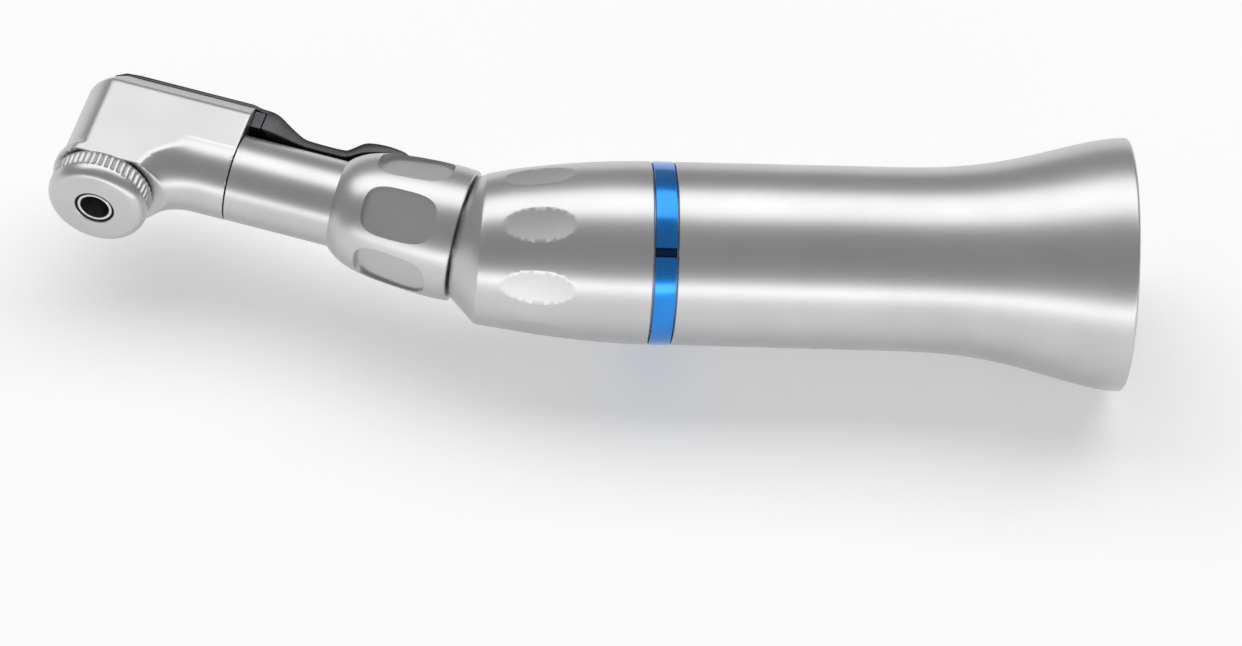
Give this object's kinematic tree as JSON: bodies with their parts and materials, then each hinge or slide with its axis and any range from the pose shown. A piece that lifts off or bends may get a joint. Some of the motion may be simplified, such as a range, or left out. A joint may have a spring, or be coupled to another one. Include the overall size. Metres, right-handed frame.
{
  "type": "dental contra angle handpiece",
  "caption": "Slender bent dental handpiece: flared bell grip, blue band, scalloped lock nut, flat-sided head with knurled cap and side-swinging latch, geared from motor socket to bur chuck.",
  "frame": {"origin": "centre of the rear bell rim, on the body axis", "axes": "+X along the body axis out of the motor socket, -Y the bur side, +Z the normal of the plane of the body, neck and head axes"},
  "size_m": [0.0857, 0.0257, 0.0202],
  "materials": {
    "satin_steel": "fine bead-blasted satin steel",
    "polished_steel": "ground and polished steel",
    "dark_steel": "dark gunmetal spring steel",
    "blue_anodised": "bright blue anodised",
    "bronze": "turned bearing bronze",
    "black_rubber": "matt black seal rubber"
  },
  "bodies": {
    "handpiece": {"rear_sheath": "satin_steel", "front_grip_sleeve": "satin_steel", "colour_ring": "blue_anodised", "bearing_case": "bronze", "front_bearing_outer": "polished_steel", "rear_bearing_outer": "polished_steel", "bearing_spacer": "satin_steel", "case_circlip": "dark_steel", "socket_tube": "satin_steel", "socket_o_ring": "black_rubber", "socket_snap_ring": "dark_steel", "index_pin": "polished_steel", "neck_tube": "satin_steel", "nut_ring": "dark_steel", "neck_rear_bush": "bronze", "neck_front_bush": "bronze", "head_housing": "satin_steel", "head_cap": "satin_steel", "cap_seal": "black_rubber", "upper_bearing_outer": "polished_steel", "lower_bearing_outer": "polished_steel", "latch_screw": "polished_steel", "latch_guide": "dark_steel"},
    "drive_line": {"drive_shaft": "satin_steel", "drive_gear": "polished_steel", "front_bearing_inner": "polished_steel", "rear_bearing_inner": "polished_steel", "front_bearing_balls": "polished_steel", "rear_bearing_balls": "polished_steel", "dog_pin": "satin_steel", "dog_spring": "polished_steel"},
    "dog": {"drive_dog": "polished_steel"},
    "neck_line": {"neck_shaft": "satin_steel", "elbow_gear": "polished_steel", "front_pinion": "polished_steel"},
    "chuck": {"bur_tube": "polished_steel", "chuck_gear": "polished_steel", "upper_bearing_inner": "polished_steel", "lower_bearing_inner": "polished_steel", "upper_bearing_balls": "polished_steel", "lower_bearing_balls": "polished_steel"},
    "latch": {"latch_lever": "dark_steel"},
    "nut": {"lock_nut": "satin_steel"}
  },
  "joints": [
    {"name": "drive_spin", "type": "hinge", "parent": "handpiece", "child": "drive_line", "pos_m": [0, 0, 0], "axis": [1, 0, 0], "continuous": true},
    {"name": "dog_slide", "type": "slide", "parent": "drive_line", "child": "dog", "axis": [-1, 0, 0], "range_m": [0, 0.0015], "stiffness_N_per_m": 400, "springref_m": -0.002, "deforming": ["dog_spring"]},
    {"name": "neck_spin", "type": "hinge", "parent": "handpiece", "child": "neck_line", "pos_m": [-0.0486, 0, 0], "axis": [0.9563, -0.2924, 0], "continuous": true},
    {"name": "chuck_spin", "type": "hinge", "parent": "handpiece", "child": "chuck", "pos_m": [-0.08006, 0.00962, 0], "axis": [-0.2924, -0.9563, 0], "continuous": true},
    {"name": "latch_swing", "type": "hinge", "parent": "handpiece", "child": "latch", "pos_m": [-0.07442, 0.00789, 0], "axis": [-0.2924, -0.9563, 0], "range_deg": [0, 32]},
    {"name": "nut_turn", "type": "hinge", "parent": "handpiece", "child": "nut", "pos_m": [-0.0486, 0, 0], "axis": [-0.9563, 0.2924, 0], "range_deg": [0, 180]}
  ],
  "couplings": [
    {"joint": "neck_spin", "follows": "drive_spin", "ratio": 1},
    {"joint": "chuck_spin", "follows": "drive_spin", "ratio": 1}
  ]
}
